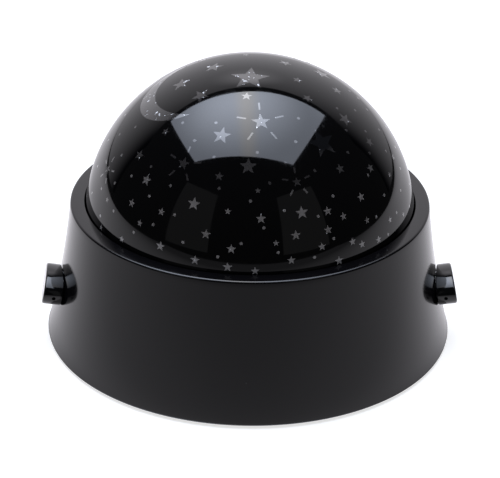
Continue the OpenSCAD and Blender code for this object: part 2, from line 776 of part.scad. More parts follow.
// Two cells side by side share a plate; the first and the last have one of their own at the back
module contact_plate(from, to, side) {
    translate([cell_x(from) - plate_w / 2, bay_y + side * (bay_l - plate_t) / 2 - plate_t / 2,
        cell_z - plate_w / 2]) cube([cell_x(to) - cell_x(from) + plate_w, plate_t, plate_w]);
}

module contact_plates() color(steel) {
    for (i = [0 : 2 : cell_count - 2]) contact_plate(i, i + 1, -1);
    for (i = [1 : 2 : cell_count - 3]) contact_plate(i, i + 1, 1);
    contact_plate(0, 0, 1);
    contact_plate(cell_count - 1, cell_count - 1, 1);
}

spring_wire_d = 0.7;
spring_turns = 3;

module battery_springs() color(steel) for (i = [0 : cell_count - 1]) along_cell(i)
    tube([for (k = [0 : 10 * spring_turns])
        let (r = 3.8 - 1.2 * k / (10 * spring_turns))
        [r * cos(36 * k), r * sin(36 * k),
            spring_wire_d / 2 + (spring_l - spring_wire_d) * k / (10 * spring_turns)]],
        spring_wire_d, 6);

// ---------------------------------------------------------------- battery door

module battery_door() color(black) difference() {
    translate([0, bay_y, door_z]) linear_extrude(door_t - 2 * seat) door_outline(0);
    for (side = [-1, 1]) translate([0, bay_y + side * door_screw_y, door_z - cut]) {
        cylinder(d = door_head_d + fit_gap, h = cut + 1);
        cylinder(d = door_screw_d + fit_gap, h = cut + door_t + 1);
    }
    for (k = [0 : 3]) translate([-9, bay_y - door_l / 2 + 6 + 2.4 * k, door_z - cut])
        cube([18, 1.2, cut + 0.5]);
}

module door_screws() color(steel) for (side = [-1, 1])
    translate([0, bay_y + side * door_screw_y, door_z + 1])
        pan_screw(door_screw_d, door_hole_h - 1 - fit_gap, door_head_d, 0.9);

// ---------------------------------------------------------------- wires

function unit(v) = v / norm(v);

// The part of u that is square to the unit vector t, at length 1
function square_to(u, t) = unit(u - (u * t) * t);

// Tube of diameter d along the points of path, with the given number of sides
module tube(path, d, sides = 8) {
    n = len(path);
    along = [for (i = [0 : n - 1]) unit(path[min(i + 1, n - 1)] - path[max(i - 1, 0)])];
    across = [for (i = 0, u = square_to([0.3, 0.5, 0.8], along[0]); i < n;
        i = i + 1, u = square_to(u, along[min(i, n - 1)])) u];
    rings = [for (i = [0 : n - 1]) for (k = [0 : sides - 1])
        path[i] + d / 2 * (cos(360 * k / sides) * across[i]
            + sin(360 * k / sides) * cross(along[i], across[i]))];
    walls = [for (i = [0 : n - 2]) for (k = [0 : sides - 1])
        let (a = i * sides + k, b = i * sides + (k + 1) % sides)
        [a, a + sides, b + sides, b]];
    ends = [[for (k = [0 : sides - 1]) k],
        [for (k = [sides - 1 : -1 : 0]) (n - 1) * sides + k]];
    polyhedron(rings, concat(walls, ends));
}

// A smooth curve through the points, with steps places on each stretch
function smooth(points, steps = 3) = let (n = len(points)) concat(
    [for (i = [0 : n - 2]) for (k = [0 : steps - 1])
        let (t = k / steps, p = points[max(i - 1, 0)], q = points[i], r = points[i + 1],
             s = points[min(i + 2, n - 1)])
        q + t / 2 * (r - p + t * (2 * p - 5 * q + 4 * r - s + t * (3 * q - p - 3 * r + s)))],
    [points[n - 1]]);

module wire(points) tube(smooth(points), wire_d, 6);

board_top = board_z + board_t;
bay_end = bay_y + bay_l / 2;
bay_out = bay_end + bay_t;         // the leads leave the bay's back wall here
bay_back = bay_out + 1.6;          // wires pass behind the bay here
bay_side = -bay_w / 2 - bay_t - 2; // wires come down beside the bay here
roof = bay_top + bay_t + 1.4;      // wires cross the bay at this height
solder = 0.15;                     // a lead ends this far from what it is soldered to

// A point over the control board, from the board's middle, h above its top face
function over_board(x, y, h) = [board_x + x, board_y + y, board_top + h];

// From the two end plates of the battery bay to the control board
module battery_wires() color("firebrick") {
    first = cell_x(0);
    last = cell_x(cell_count - 1);
    wire([[first, bay_end + solder, exit_z], [first, bay_out, exit_z],
        [first, bay_back + 0.4, exit_z], [first - 6, bay_back + 1.4, exit_z + 0.8],
        [bay_side - 2, board_y + 0.5, board_top + 2.4], over_board(7.5, 1, 2.6),
        over_board(7.5, 1, solder)]);
    wire([[last, bay_end + solder, exit_z], [last, bay_out, exit_z], [last, bay_back, exit_z],
        [last - 1, bay_back + 0.2, roof - 1.4], [last - 5, bay_end, roof], [0, bay_end - 1, roof],
        [1.3 * first, bay_end - 1.2, roof], [bay_side - 1, board_y - 2.4, roof - 1],
        over_board(7.5, -2.5, 2.6), over_board(7.5, -2.5, solder)]);
}

// From the wire cover on the motor to the control board
module motor_wires() color("gold") for (i = [0, 1]) {
    start = [-wire_cover_w / 2 - solder, wire_cover_y + 2.4, deck_z - 11 + 3 * i];
    wire([start, start + [-4.5, 0.2, 0], over_board(19, 7.6 - i, 4.4 + 2 * i),
        over_board(10 - 2 * i, 5, 3 + i), over_board(9 - 2.4 * i, 4, 2.4),
        over_board(9 - 2.4 * i, 4, solder)]);
}

// From the control board through the deck to the lamp board
module lamp_wires() color("ivory") for (i = [0, 1]) {
    x = wire_hole[0] - 0.9 + 1.8 * i;
    y = -column_d / 2 - 1.6;
    wire([over_board(4.5 + 2.4 * i, -7, solder), over_board(4.5 + 2.4 * i, -7, 2.9),
        over_board(9 + 2.4 * i, -15, 7.9), [-20 + i, -12 + 2 * i, roof + 2],
        [-6 + i, wire_hole[1] + 2 * i, (roof + deck_z) / 2], [x, wire_hole[1], deck_z - 1],
        [x, wire_hole[1], deck_top + 2], [x, y - 2.9, lamp_z - 4], [x, y, lamp_z - 2],
        [x, y, lamp_z - solder]]);
}

// A point of the right-hand knob's own frame, in the part's frame
function knob_point(p) = let (a = 90 - knob_lean,
    x = wall_at(knob_z) + p[0] * cos(a) + p[2] * sin(a), z = knob_z - p[0] * sin(a) + p[2] * cos(a))
    [x * cos(knob_forward) + p[1] * sin(knob_forward), p[1] * cos(knob_forward) - x * sin(knob_forward), z];

// Where a lead meets the end of a switch's pin i, from -1 to 1
function pin_end(i) = knob_point([switch_w / 2 + switch_pin_l + solder, switch_pin_pitch * i,
    -wall_t - fit_gap - switch_depth + 0.2]);

function left(p) = [-p[0], p[1], p[2]];

// From both switches to the control board
module switch_wires() color("seagreen") for (i = [-1 : 1]) {
    near = left(pin_end(i));
    wire([near, near + [1, 0, -0.7], near + [3, 0.3 - 0.8 * i, 0.6],
        over_board(-11.2 - 0.6 * i, -18 + 1.9 * i, 2), over_board(-7.4 - 1.7 * i, -13 + 1.2 * i, 2.6),
        over_board(-7.4 - 1.7 * i, -13 + 1.2 * i, solder)]);
    far = pin_end(i);
    wire([far, far + [-1.2, -0.3, -0.7], far + [-12, -6 - i, 1.4], [30, -18 + 1.8 * i, roof],
        [10, -22 + 1.8 * i, roof], [-10, -22 + 1.8 * i, roof],
        [-28 + 1.5 * i, -14 + 1.5 * i, roof - 1], over_board(6.2 + 2.2 * i, -16 + i, 2.9),
        over_board(6.2 + 2.2 * i, -13 + i, 2.2), over_board(6.2 + 2.2 * i, -13 + i, solder)]);
}

base_housing();
bottom_cover();
rubber_feet();
cover_screws();
deck_plate();
deck_screws();
lamp_board();
lamp_screws();
lamps();
motor_can();
motor_flange();
motor_wire_cover();
motor_screws();
motor_shaft();
drive_pinion();
dome_shell();
star_windows();
dome_ring_gear();
ring_screws();
left_switch();
right_switch();
left_switch_nut();
right_switch_nut();
left_spindle();
right_spindle();
left_knob();
right_knob();
control_board();
board_screws();
battery_cells();
battery_springs();
contact_plates();
lamp_wires();
motor_wires();
battery_wires();
switch_wires();
battery_door();
door_screws();
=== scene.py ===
"""Looks of the star night light projector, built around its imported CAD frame.

The sections follow the object as it is put together: housing, bottom, inner works, dome, stars and
knobs, and then the floor, the lights and the camera. The object's sizes are written in millimetres
and turned into metres where a mesh is made. The feet stand on z = 0 and the front faces -Y.
"""
import math
import bmesh
import bpy
from mathutils import Matrix, Vector


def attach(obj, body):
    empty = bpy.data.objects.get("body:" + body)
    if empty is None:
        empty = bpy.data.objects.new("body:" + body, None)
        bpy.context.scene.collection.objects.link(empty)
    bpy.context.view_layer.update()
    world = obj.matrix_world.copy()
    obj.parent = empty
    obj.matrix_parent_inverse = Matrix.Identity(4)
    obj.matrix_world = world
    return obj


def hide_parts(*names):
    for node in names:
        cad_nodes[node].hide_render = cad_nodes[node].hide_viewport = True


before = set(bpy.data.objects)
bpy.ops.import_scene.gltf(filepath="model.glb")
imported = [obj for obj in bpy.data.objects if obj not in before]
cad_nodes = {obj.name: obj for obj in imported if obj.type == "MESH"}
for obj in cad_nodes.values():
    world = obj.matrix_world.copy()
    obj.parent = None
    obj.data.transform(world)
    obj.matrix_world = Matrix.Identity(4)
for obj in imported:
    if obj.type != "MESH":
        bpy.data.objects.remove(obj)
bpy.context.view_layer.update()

# ------------------------------------------------------------------ base housing
# The real housing is one injection moulding in black ABS: a flared wall, curved in between foot and
# rim, that turns over into a flat ring round the dome. It carries eight screw bosses inside.

mm = 0.001

rim_z = 48.7
base_z = 1.0
wall_t = 2.2
ring_t = 2.2
rim_round = 0.8
foot_round = 0.35
foot_round_end = -8.0
lip_r = 56.95
dome_z = 41.0
wall_arc_r = 327.4
wall_arc_middle = (386.554, 84.559)
wall_rows = 28
inner_wall_rows = (40, 32, 24, 16, 8)
body_steps = 256
merge_gap = 0.0005
sharp_edge = 35.0
rod_sides = 48


def wall_at(z, depth=0.0):
    """Radius of the housing's wall at height z, depth millimetres under its outer face."""
    return wall_arc_middle[0] - math.sqrt((wall_arc_r + depth) ** 2 - (z - wall_arc_middle[1]) ** 2)


def wall_lean(z):
    """How far the housing's wall leans inwards at height z, in degrees out of upright."""
    return math.degrees(math.asin((wall_arc_middle[1] - z) / wall_arc_r))


def arc(middle, radius, start, end, steps):
    """Points of an arc from start to end, in degrees from the radial direction upwards."""
    turns = [math.radians(start + (end - start) * i / steps) for i in range(steps + 1)]
    return [(middle[0] + radius * math.cos(a), middle[1] + radius * math.sin(a)) for a in turns]


def spun(section):
    """A closed section of (radius, height) points, turned once round the upright axis."""
    shape = bmesh.new()
    corners = [shape.verts.new((r * mm, 0, z * mm)) for r, z in section]
    sides = [shape.edges.new(pair) for pair in zip(corners, corners[1:] + corners[:1])]
    bmesh.ops.spin(
        shape,
        geom=corners + sides,
        cent=(0, 0, 0),
        axis=(0, 0, 1),
        angle=2 * math.pi,
        steps=body_steps,
        use_merge=True,
    )
    bmesh.ops.remove_doubles(shape, verts=shape.verts, dist=merge_gap * mm)
    bmesh.ops.recalc_face_normals(shape, faces=shape.faces)
    return shape


def finished(name, shape, finish):
    """Turns a bmesh into an object with its finish, smooth but for its sharp edges."""
    mesh = bpy.data.meshes.new(name)
    shape.to_mesh(mesh)
    shape.free()
    mesh.polygons.foreach_set("use_smooth", [True] * len(mesh.polygons))
    mesh.set_sharp_from_angle(angle=math.radians(sharp_edge))
    mesh.materials.append(finish)
    piece = bpy.data.objects.new(name, mesh)
    bpy.context.scene.collection.objects.link(piece)
    return piece


def drilled(piece, drills):
    """Cuts a bmesh of drills out of a piece for good."""
    mesh = bpy.data.meshes.new("drills")
    drills.to_mesh(mesh)
    drills.free()
    tool = bpy.data.objects.new("drills", mesh)
    bpy.context.scene.collection.objects.link(tool)
    cut = piece.modifiers.new("drilling", "BOOLEAN")
    cut.object = tool
    cut.operation = "DIFFERENCE"
    cut.solver = "EXACT"
    bpy.context.view_layer.update()
    result = bpy.data.meshes.new_from_object(
        piece.evaluated_get(bpy.context.evaluated_depsgraph_get())
    )
    piece.modifiers.remove(cut)
    piece.data = result
    bpy.data.objects.remove(tool)
    result.set_sharp_from_angle(angle=math.radians(sharp_edge))


def add_rod(shape, diameter, z_from, z_to, place):
    """Adds a closed rod to a bmesh, upright between two heights and then moved to its place."""
    bmesh.ops.create_cone(
        shape,
        cap_ends=True,
        segments=rod_sides,
        radius1=diameter / 2 * mm,
        radius2=diameter / 2 * mm,
        depth=(z_to - z_from) * mm,
        matrix=place @ Matrix.Translation((0, 0, (z_from + z_to) / 2 * mm)),
    )


class Wire:
    """The output of one shader node. Sums written with it add their Math nodes."""

    def __init__(self, finish, socket):
        self.finish = finish
        self.socket = socket

    def combine(self, operation, first, second):
        """Adds a Math node."""
        return self.finish.node("ShaderNodeMath", {"operation": operation}, {0: first, 1: second})

    def __add__(self, other):
        return self.combine("ADD", self, other)

    def __sub__(self, other):
        return self.combine("SUBTRACT", self, other)

    def __rsub__(self, other):
        return self.combine("SUBTRACT", other, self)

    def __mul__(self, other):
        return self.combine("MULTIPLY", self, other)

    __radd__ = __add__
    __rmul__ = __mul__


def linear(shade):
    """The light in one channel of a colour, 0 to 1, from its shade on a screen, 0 to 255."""
    level = shade / 255
    return level / 12.92 if level <= 0.04045 else ((level + 0.055) / 1.055) ** 2.4


def colour(red, green, blue):
    """A shader's colour from the shades of its channels on a screen."""
    return (linear(red), linear(green), linear(blue), 1.0)


class Finish:
    """A material under construction: its shader, and one method that adds any other node.

    Constants are set on the shader's own sockets, whose names are written with _ for a space.
    """

    def __init__(self, name, **constants):
        self.material = bpy.data.materials.new(name)
        self.material.use_nodes = True
        self.tree = self.material.node_tree
        self.shader = self.tree.nodes["Principled BSDF"]
        for socket, value in constants.items():
            self.shader.inputs[socket.replace("_", " ")].default_value = value
        self.place = self.node("ShaderNodeTexCoord", output="Object")

    def node(self, kind, settings=None, inputs=None, output=0):
        """Adds a node with its settings and its sockets' values or links, and gives one output."""
        made = self.tree.nodes.new(kind)
        for setting, value in (settings or {}).items():
            setattr(made, setting, value)
        for socket, value in (inputs or {}).items():
            self.connect(made.inputs[socket], value)
        return Wire(self, made.outputs[output])

    def connect(self, socket, value):
        """Links a socket to a node's output, or sets its value."""
        if isinstance(value, Wire):
            self.tree.links.new(value.socket, socket)
        else:
            socket.default_value = value

    def feed(self, socket, value):
        """Links or sets a socket of the shader."""
        self.connect(self.shader.inputs[socket], value)

    def along(self, axis):
        """The place along one of the axes, in metres."""
        return self.node("ShaderNodeSeparateXYZ", {}, {0: self.place}, axis)

    def noise(self, size, detail=2.0, stretch=(1, 1, 1)):
        """Soft random field, 0 to 1, whose lumps are about size millimetres across."""
        place = self.node(
            "ShaderNodeMapping", {"vector_type": "POINT"}, {"Vector": self.place, "Scale": stretch}
        )
        return self.node(
            "ShaderNodeTexNoise", {}, {"Vector": place, "Scale": 1 / (size * mm), "Detail": detail}
        )

    def step(self, field, low, high, from_value=0.0, to_value=1.0):
        """The field run from from_value, where it is low, to to_value, where it is high."""
        return self.node(
            "ShaderNodeMapRange",
            {"clamp": True},
            {0: field, 1: low, 2: high, 3: from_value, 4: to_value},
        )

    def blend(self, amount, first, second):
        """The first colour turning into the second as amount goes from 0 to 1."""
        return self.node("ShaderNodeMix", {"data_type": "RGBA"}, {0: amount, 6: first, 7: second}, 2)

    def specks(self, spacing, size):
        """1 on tiny round specks about that far apart, and 0 between them."""
        cells = self.node(
            "ShaderNodeTexVoronoi", {"feature": "F1"},
            {"Vector": self.place, "Scale": 1 / (spacing * mm)},
        )
        return self.step(cells, size / spacing, size / spacing * 0.6)

    def relief(self, height, depth):
        """Raises the surface by up to depth millimetres where the height field is 1."""
        self.feed("Normal", self.node(
            "ShaderNodeBump", {}, {"Distance": depth * mm, "Height": height}, "Normal"
        ))


def satin_black_abs():
    """Black ABS out of a lightly blasted mould: satin, faintly uneven, with a little dust."""
    finish = Finish("satin_black_abs", IOR=1.54)
    cloud = finish.noise(16, 3)
    grain = finish.noise(0.35, 2)
    dust = finish.specks(9, 0.16) * finish.step(finish.noise(22), 0.5, 0.7)
    plain = finish.blend(cloud, colour(7, 7, 9), colour(12, 11, 13))
    finish.feed("Base Color", finish.blend(dust, plain, colour(120, 120, 122)))
    finish.feed("Roughness", finish.step(cloud + grain, 0.6, 1.4, 0.1, 0.16) + dust * 0.3)
    finish.relief(grain, 0.0008)
    return finish.material


housing_black = satin_black_abs()


def housing_section():
    """Outer wall from foot to rim, over the ring, down the lip, and back down the inner wall."""
    low = base_z + foot_round
    foot = arc((wall_at(base_z) - foot_round, low), foot_round, -90, foot_round_end, steps=4)
    high = rim_z - rim_round
    lean = wall_lean(high)
    rim = arc((wall_at(high, rim_round), high), rim_round, lean, 90, steps=8)
    wall_h = high + rim_round * math.sin(math.radians(lean)) - low
    outer_rows = [low + wall_h * i / wall_rows for i in range(wall_rows)]
    outer = [(wall_at(z), z) for z in outer_rows]
    ring_under = rim_z - ring_t
    lip_ends = [math.degrees(math.asin((z - dome_z) / lip_r)) for z in (rim_z, ring_under)]
    lip = arc((0, dome_z), lip_r, *lip_ends, steps=3)
    inner = [(wall_at(z, wall_t), z) for z in (ring_under, *inner_wall_rows, base_z)]
    return foot + outer + rim + lip + inner


cover_boss_angles = (45, 135, 225, 315)
cover_boss_d = 7.0
cover_boss_z = 6.2
cover_boss_h = 14.0
deck_boss_angles = (30, 150, 210, 330)
deck_boss_d = 6.4
deck_boss_z = 28.0
deck_boss_h = 5.6


def add_bosses(shape, angles, diameter, z, height):
    """Adds closed screw bosses that stand against the inner wall."""
    place = wall_at(z + height, wall_t) - diameter / 2
    for angle in angles:
        turn = Matrix.Rotation(math.radians(angle), 4, "Z")
        add_rod(shape, diameter, z, z + height, turn @ Matrix.Translation((place * mm, 0, 0)))


knob_forward = 8.0
knob_z = 19.8
bushing_hole_d = 7.3
drill_reach = 5.0


def knob_place(side):
    """Where a knob sits: +Z out of the wall. Side is 1 for the right knob and -1 for the left."""
    turn = Matrix.Rotation(math.radians(-side * knob_forward), 4, "Z")
    move = Matrix.Translation((side * wall_at(knob_z) * mm, 0, knob_z * mm))
    lean = Matrix.Rotation(math.radians(side * (90 - wall_lean(knob_z))), 4, "Y")
    return turn @ move @ lean


housing_shape = spun(housing_section())
add_bosses(housing_shape, cover_boss_angles, cover_boss_d, cover_boss_z, cover_boss_h)
add_bosses(housing_shape, deck_boss_angles, deck_boss_d, deck_boss_z, deck_boss_h)
housing = finished("housing_moulding", housing_shape, housing_black)
bushing_drills = bmesh.new()
for side in (-1, 1):
    add_rod(bushing_drills, bushing_hole_d, -drill_reach, drill_reach, knob_place(side))
drilled(housing, bushing_drills)
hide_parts("base_housing")
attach(housing, "base")

# ------------------------------------------------------------------ bottom cover and battery door
# Both are moulded in the same black ABS as the housing, but their hidden faces are coarser. Four
# screws hold the cover in the housing, and two more hold the door over the battery bay.


def dress(finish, *names):
    """Gives CAD nodes a finish."""
    for name in names:
        slots = cad_nodes[name].data.materials
        for i in range(len(slots)):
            slots[i] = finish


def blasted_black_abs():
    """The coarser mould face of the parts underneath and inside."""
    finish = Finish("blasted_black_abs", IOR=1.54)
    cloud = finish.noise(12, 3)
    grain = finish.noise(0.5, 3)
    finish.feed("Base Color", finish.blend(cloud, colour(20, 20, 21), colour(30, 30, 31)))
    finish.feed("Roughness", finish.step(cloud + grain, 0.6, 1.4, 0.48, 0.62))
    finish.relief(grain, 0.02)
    return finish.material


dress(blasted_black_abs(), "bottom_cover", "battery_door", "deck_plate")

# ------------------------------------------------------------------ rubber feet
# Four black rubber discs with a chamfered lower edge, moulded and glued into pockets of the cover.
# The table has greyed them a little.


def foot_rubber():
    """Matt black rubber, worn grey in patches."""
    finish = Finish("foot_rubber", IOR=1.52)
    worn = finish.step(finish.noise(1.6, 4), 0.45, 0.75)
    finish.feed("Base Color", finish.blend(worn, colour(26, 26, 27), colour(58, 57, 55)))
    finish.feed("Roughness", finish.step(worn, 0, 1, 0.7, 0.9))
    finish.relief(finish.noise(0.4, 3), 0.03)
    return finish.material


dress(foot_rubber(), "rubber_feet")

# ------------------------------------------------------------------ screws, springs and steel parts
# Screws are zinc-plated steel, the gear motor is bright steel sheet, the shaft and the spindles are
# turned, and the battery contacts are nickel on spring steel.


def metal(name, light, dark, roughness, streak):
    """Bare or plated metal: two tones, dull patches, and streaks along the axis that is under 1."""
    finish = Finish(name, Metallic=1.0)
    patch = finish.noise(3, 3)
    lines = finish.noise(0.3, 2, streak)
    finish.feed("Base Color", finish.blend(patch, colour(*light), colour(*dark)))
    finish.feed("Roughness", finish.step(patch + lines, 0.6, 1.4, roughness, roughness + 0.18))
    finish.relief(lines, 0.004)
    return finish.material


dress(
    metal("zinc_plated_steel", (205, 206, 210), (172, 174, 180), 0.26, (1, 1, 1)),
    "cover_screws", "door_screws", "deck_screws", "lamp_screws", "motor_screws",
    "ring_screws", "board_screws", "left_switch_nut", "right_switch_nut",
)
dress(
    metal("bright_steel_sheet", (196, 197, 200), (166, 168, 172), 0.3, (1, 1, 0.06)),
    "motor_can", "motor_flange", "motor_shaft",
)
dress(
    metal("turned_steel", (188, 189, 192), (160, 161, 165), 0.28, (0.1, 1, 1)),
    "left_spindle", "right_spindle",
)
dress(
    metal("nickel_spring_steel", (214, 208, 196), (184, 178, 168), 0.24, (1, 0.1, 1)),
    "battery_springs", "contact_plates",
)

# ------------------------------------------------------------------ gears
# Pinion and ring gear are moulded in natural nylon, milky and slightly waxy. The ring gear is
# screwed under the dome, and the pinion is pressed on the motor's shaft.


def natural_nylon():
    """Nylon without pigment, with a milky cloud in it."""
    finish = Finish("natural_nylon", IOR=1.53)
    milk = finish.noise(6, 3)
    finish.feed("Base Color", finish.blend(milk, colour(226, 224, 214), colour(206, 203, 190)))
    finish.feed("Roughness", finish.step(milk, 0.3, 0.7, 0.34, 0.5))
    finish.relief(finish.noise(0.6, 2), 0.01)
    return finish.material


dress(natural_nylon(), "dome_ring_gear", "drive_pinion")

# ------------------------------------------------------------------ boards, switches and lamps
# The control board is green glass-epoxy, the lamp board is white for its reflectance, the lamps are
# clear water-white domes, and the rotary switches are black thermoset.


def board_lacquer(name, light, dark):
    """Lacquer over woven glass cloth, which shows through a little."""
    finish = Finish(name, IOR=1.5)
    weave = finish.noise(0.7, 2, (1, 0.35, 1))
    finish.feed("Base Color", finish.blend(weave, colour(*light), colour(*dark)))
    finish.feed("Roughness", finish.step(weave, 0.3, 0.7, 0.3, 0.42))
    finish.relief(weave, 0.01)
    return finish.material


dress(board_lacquer("green_board_lacquer", (18, 96, 52), (12, 72, 40)), "control_board")
dress(board_lacquer("white_board_lacquer", (236, 236, 232), (218, 218, 212)), "lamp_board")


def clear_epoxy():
    """Clear casting resin with a slight haze."""
    finish = Finish("clear_epoxy", IOR=1.53, Transmission_Weight=0.85)
    haze = finish.noise(1.2, 2)
    finish.feed("Base Color", finish.blend(haze, colour(246, 248, 250), colour(228, 232, 238)))
    finish.feed("Roughness", finish.step(haze, 0.3, 0.7, 0.04, 0.12))
    return finish.material


def moulded(name, light, dark, roughness):
    """Plain moulded plastic with cloudy tone and a fine grain."""
    finish = Finish(name, IOR=1.5)
    cloud = finish.noise(3, 3)
    finish.feed("Base Color", finish.blend(cloud, colour(*light), colour(*dark)))
    finish.feed("Roughness", finish.step(cloud, 0.3, 0.7, roughness, roughness + 0.12))
    finish.relief(finish.noise(0.4, 2), 0.01)
    return finish.material


dress(clear_epoxy(), "lamps")
dress(moulded("switch_thermoset", (34, 34, 35), (24, 24, 25), 0.4), "left_switch", "right_switch")
dress(moulded("wire_cover_blue", (46, 104, 168), (36, 86, 146), 0.38), "motor_wire_cover")

# ------------------------------------------------------------------ cells and leads
# The cells have a copper-coloured metal sleeve that is scuffed in places. The leads are covered in
# PVC, with one colour for each run, and soldered at both ends.


def cell_sleeve():
    """Printed metal sleeve, paler where its print is rubbed off."""
    finish = Finish("cell_sleeve", Metallic=0.55)
    scuff = finish.step(finish.noise(1.5, 4), 0.5, 0.75)
    finish.feed("Base Color", finish.blend(scuff, colour(172, 128, 60), colour(196, 180, 150)))
    finish.feed("Roughness", finish.step(scuff, 0, 1, 0.28, 0.45))
    finish.relief(finish.noise(0.8, 2), 0.004)
    return finish.material


dress(cell_sleeve(), "battery_cells")
dress(moulded("lead_white", (232, 230, 224), (214, 212, 204), 0.4), "lamp_wires")
dress(moulded("lead_yellow", (222, 180, 40), (204, 160, 30), 0.4), "motor_wires")
dress(moulded("lead_red", (180, 30, 28), (154, 24, 24), 0.4), "battery_wires")
dress(moulded("lead_green", (40, 130, 70), (30, 110, 58), 0.4), "switch_wires")

# ------------------------------------------------------------------ dome
# A thin-walled hemisphere on a short skirt, moulded in high-gloss black polycarbonate from a
# polished mould. It turns in the lip of the housing's ring.

dome_r = 56.5
dome_t = 1.8
skirt_h = 5.0


def polished_black(name, base, roughness=0.03):
    """High-gloss plastic from a polished mould, with haze, fine rub marks and single dust specks."""
    finish = Finish(name, IOR=1.585)
    haze = finish.noise(14, 3)
    rub = finish.noise(2.2, 3, (1, 1, 0.25))
    dust = finish.specks(11, 0.12) * finish.step(finish.noise(30), 0.5, 0.65)
    plain = finish.blend(haze, colour(*base), colour(*[c + 3 for c in base]))
    finish.feed("Base Color", finish.blend(dust, plain, colour(150, 150, 152)))
    smear = finish.step(haze + rub, 0.8, 1.4, roughness, roughness + 0.05)
    finish.feed("Roughness", smear + dust * 0.4)
    finish.relief(finish.noise(9, 1), 0.002)
    return finish.material


dome_black = polished_black("polished_black_pc", (3, 3, 4))
dome_section = (
    arc((0, dome_z), dome_r, 90, 0, steps=72)
    + [(dome_r, dome_z - skirt_h), (dome_r - dome_t, dome_z - skirt_h)]
    + arc((0, dome_z), dome_r - dome_t, 0, 90, steps=36)
)
dome = finished("dome_moulding", spun(dome_section), dome_black)
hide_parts("dome_shell")
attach(dome, "dome")

# ------------------------------------------------------------------ star windows
# Grey translucent windows, flush with the dome: stars, one crescent, round dots and rays of short
# dashes, placed one by one. Flank rows stand on both halves of the dome, half a turn apart.

window_lift = 0.02
window_sink = 0.3
outwards_share = 0.9
star_points = 5
star_waist = 0.42
large_star = 3.0

# Each star has its turn round from the front, its rise (both in degrees) and its radius.
crown_stars = [
    (-6, 80, 6.8), (-93, 77, 3.5), (190, 79, 1.4), (110, 78, 2.5), (62, 73, 1.9), (-130, 68, 1.7),
    (-7, 70, 1.9), (81, 60, 2.1),
]
flank_stars = [
    (-79, 65, 3.5), (-48, 66, 3.2), (47, 65, 1.9), (4, 59, 3.2), (-18, 53, 3.2), (59, 52, 2.8),
    (-50, 49, 1.5), (35, 48, 5.2), (-3, 43, 2.9), (-32, 41, 2.2), (63, 41, 1.9), (-56, 38, 2),
    (-15, 39, 1.5), (17, 37, 1.6), (38, 38, 1.7), (54, 34, 1.6), (-46, 32, 2), (74, 31, 1.5),
    (-23, 29, 2.2), (-71, 27, 1.6), (2, 26, 1.7), (17, 27, 2.2), (27, 26, 1.6), (43, 27, 1.6),
    (-49, 23, 1.5), (-35, 24, 1.4), (33, 23, 1.4), (-17, 20, 1.7), (14, 20, 1.7), (26, 20, 1.6),
    (-43, 18, 1.2), (43, 19, 1.2), (-8, 16, 1.6), (23, 15, 1.4), (35, 14, 1.4), (55, 15, 1.2),
    (-33, 13, 1.7), (12, 12, 1.4), (-20, 11, 1.6), (47, 11, 1.4), (39, 12, 1.4), (29, 9, 1.6),
    (0, 9, 1.4), (-9, 10, 1.6), (-50, 10, 1.2), (-63, 9, 1), (65, 13, 1), (-63, 19, 1),
    (7, 18, 1.1), (64, 28, 1), (-10, 28, 1.1), (1, 35, 1), (92, 51, 1.2),
]
ray_stars = [(4, 59, 3.2), (-32, 41, 2.2), (-71, 27, 1.6), (17, 37, 1.6)]

# Dashes round a star. Their gap, their length and the room that they take are each a length and a
# share of the star's radius.
ray_width = 0.58
ray_gap = 0.9
ray_gap_share = 1.25
ray_length = 1.0
ray_length_share = 0.62
ray_room = 1.7
ray_room_share = 1.8

moon_place = (-77, 66)
moon_r = 17.0
moon_turns = (-11, -194)
bite_middle = (1.6, 7.3)
bite_r = 18.4
bite_turns = (-35, -170)
moon_steps = 40
dot_r = 0.52
dot_corners = 12
dot_count = 185
dot_clearance = 1.3
dots_from = 10
dots_to = 64
# Middle of the patch of painted shade that darkens the largest window of the flank.
painted_shade_window_place = (35, 50)


def on_dome(turn, rise):
    """A place on the dome: +Z outwards, +Y towards the top. Turn goes round from the front."""
    return (
        Matrix.Rotation(math.radians(turn), 4, "Z")
        @ Matrix.Rotation(math.radians(90 - rise), 4, "X")
    )


def lay_on_dome(shape, place):
    """Lays the flat patch that was added last on the dome's sphere, and moves it to its place."""
    outer = (dome_r + window_lift) * mm
    for vert in [v for v in shape.verts if not v.tag]:
        vert.co.z = math.sqrt(outer**2 - vert.co.x**2 - vert.co.y**2)
        vert.co = place @ vert.co
        vert.tag = True


def add_patch(shape, outline, place, cuts=0):
    """Adds a patch with that outline (mm), cut more finely where it is large."""
    rim = [shape.verts.new((x * mm, y * mm, 0)) for x, y in outline]
    poked = bmesh.ops.poke(shape, faces=[shape.faces.new(rim)])["faces"]
    edges = list({edge for part in poked for edge in part.edges})
    if cuts:
        bmesh.ops.subdivide_edges(shape, edges=edges, cuts=cuts, use_grid_fill=True)
    lay_on_dome(shape, place)


def add_crescent(shape, outer_line, inner_line, place, cuts):
    """Adds the strip between two arcs (mm) that have the same number of points."""
    sides = []
    for line in (outer_line, inner_line):
        points = [shape.verts.new((x * mm, y * mm, 0)) for x, y in line]
        sides += [shape.edges.new(pair) for pair in zip(points, points[1:])]
    across = bmesh.ops.bridge_loops(shape, edges=sides)["edges"]
    bmesh.ops.subdivide_edges(shape, edges=across, cuts=cuts, use_grid_fill=True)
    lay_on_dome(shape, place)


def star_outline(radius):
    """Corners of a star whose first point faces the dome's top, and every other one is a waist."""
    half_step = math.pi / star_points
    reach = [radius, star_waist * radius] * star_points
    return [(-r * math.sin(i * half_step), r * math.cos(i * half_step)) for i, r in enumerate(reach)]


def dot_outline(radius):
    """Corners of a round dot."""
    turns = [2 * math.pi * i / dot_corners for i in range(dot_corners)]
    return [(radius * math.cos(a), radius * math.sin(a)) for a in turns]


